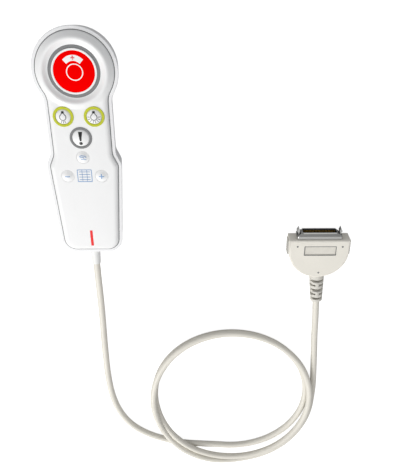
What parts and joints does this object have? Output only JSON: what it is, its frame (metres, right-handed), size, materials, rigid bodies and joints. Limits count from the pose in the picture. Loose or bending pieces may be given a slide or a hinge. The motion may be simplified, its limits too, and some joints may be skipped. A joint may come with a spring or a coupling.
{
  "type": "pendant control station",
  "caption": "Hand-held pendant control with a round call button, smaller buttons and keys, on a flexible cord that ends in a D-shaped latching plug.",
  "frame": {"origin": "middle of the handset's back, on the surface that the handset lies on, without its cord and plug", "axes": "+X to the right seen from the front, +Y towards the head with the call button, +Z out of the face"},
  "size_m": [0.2558, 0.4625, 0.0262],
  "materials": {
    "housing_plastic": "white moulded plastic, fine satin",
    "cover_plastic": "white moulded plastic, smooth satin",
    "key_plastic": "white silicone-coated plastic",
    "red_plastic": "red, satin gloss",
    "light_ring_plastic": "translucent white",
    "grey_plastic": "mid grey, matt",
    "lime_plastic": "yellow-green, matt",
    "silicone": "soft, translucent grey",
    "seal_rubber": "grey rubber",
    "board": "green solder mask",
    "component_black": "black moulded",
    "lens_clear": "clear lens",
    "steel": "bright zinc-plated steel",
    "spring_steel": "spring steel",
    "cord_jacket": "off-white soft jacket, satin",
    "wire_jacket": "thin insulated cores",
    "hood_plastic": "cream moulded plastic, fine grain",
    "boot_plastic": "cream soft plastic",
    "pad_plastic": "grey-beige plastic",
    "gold": "gold-plated contacts"
  },
  "bodies": {
    "handset": {"rear_housing": "housing_plastic", "front_cover": "cover_plastic", "housing_seal": "seal_rubber", "call_bezel": "grey_plastic", "call_spring": "spring_steel", "call_switch": "component_black", "reading_light_ring": "lime_plastic", "room_light_ring": "lime_plastic", "alert_ring": "grey_plastic", "keypad_mat": "silicone", "snap_domes": "spring_steel", "circuit_board": "board", "indicator_lights": "lens_clear", "terminal_block": "component_black", "controller_chip": "component_black", "housing_screws": "steel", "board_screws": "steel", "handset_boot": "boot_plastic", "handset_cord_end": "cord_jacket", "handset_cord_clamp": "steel", "handset_clamp_screws": "steel", "handset_wires": "wire_jacket", "cord_lead": "cord_jacket", "cord_coil": "cord_jacket", "cord_tail": "cord_jacket", "plug_hood_front": "hood_plastic", "plug_hood_rear": "hood_plastic", "plug_boot": "boot_plastic", "plug_cord_end": "cord_jacket", "plug_cord_clamp": "steel", "plug_wires": "wire_jacket", "hood_screws": "steel", "connector_shell": "steel", "connector_insulator": "component_black", "connector_contacts": "gold", "latch_pins": "steel", "latch_springs": "spring_steel"},
    "call_button_body": {"call_button": "red_plastic", "call_light_ring": "light_ring_plastic"},
    "reading_light_body": {"reading_light_button": "key_plastic"},
    "room_light_body": {"room_light_button": "key_plastic"},
    "alert_body": {"alert_button": "key_plastic"},
    "select_body": {"select_key": "cover_plastic"},
    "volume_down_body": {"volume_down_key": "cover_plastic"},
    "volume_up_body": {"volume_up_key": "cover_plastic"},
    "left_latch_body": {"left_latch": "steel", "left_squeeze_button": "pad_plastic"},
    "right_latch_body": {"right_latch": "steel", "right_squeeze_button": "pad_plastic"}
  },
  "joints": [
    {"name": "call_button_press", "type": "slide", "parent": "handset", "child": "call_button_body", "axis": [0, 0, -1], "range_m": [0, 0.001], "stiffness_N_per_m": 1500, "springref_m": -0.0005, "deforming": ["call_spring"]},
    {"name": "reading_light_press", "type": "slide", "parent": "handset", "child": "reading_light_body", "axis": [0, 0, -1], "range_m": [0, 0.0008], "stiffness_N_per_m": 1500, "springref_m": -0.0004},
    {"name": "room_light_press", "type": "slide", "parent": "handset", "child": "room_light_body", "axis": [0, 0, -1], "range_m": [0, 0.0008], "stiffness_N_per_m": 1500, "springref_m": -0.0004},
    {"name": "alert_press", "type": "slide", "parent": "handset", "child": "alert_body", "axis": [0, 0, -1], "range_m": [0, 0.0008], "stiffness_N_per_m": 1500, "springref_m": -0.0004},
    {"name": "select_press", "type": "slide", "parent": "handset", "child": "select_body", "axis": [0, 0, -1], "range_m": [0, 0.0008], "stiffness_N_per_m": 1500, "springref_m": -0.0004},
    {"name": "volume_down_press", "type": "slide", "parent": "handset", "child": "volume_down_body", "axis": [0, 0, -1], "range_m": [0, 0.0008], "stiffness_N_per_m": 1500, "springref_m": -0.0004},
    {"name": "volume_up_press", "type": "slide", "parent": "handset", "child": "volume_up_body", "axis": [0, 0, -1], "range_m": [0, 0.0008], "stiffness_N_per_m": 1500, "springref_m": -0.0004},
    {"name": "left_latch_squeeze", "type": "hinge", "parent": "handset", "child": "left_latch_body", "pos_m": [0.1776, -0.107, 0.008], "axis": [0, 0, -1], "range_deg": [0, 1.8], "stiffness_Nm_per_rad": 1.9, "springref_deg": -0.57},
    {"name": "right_latch_squeeze", "type": "hinge", "parent": "handset", "child": "right_latch_body", "pos_m": [0.214, -0.107, 0.008], "axis": [0, 0, 1], "range_deg": [0, 1.8], "stiffness_Nm_per_rad": 1.9, "springref_deg": -0.57}
  ]
}
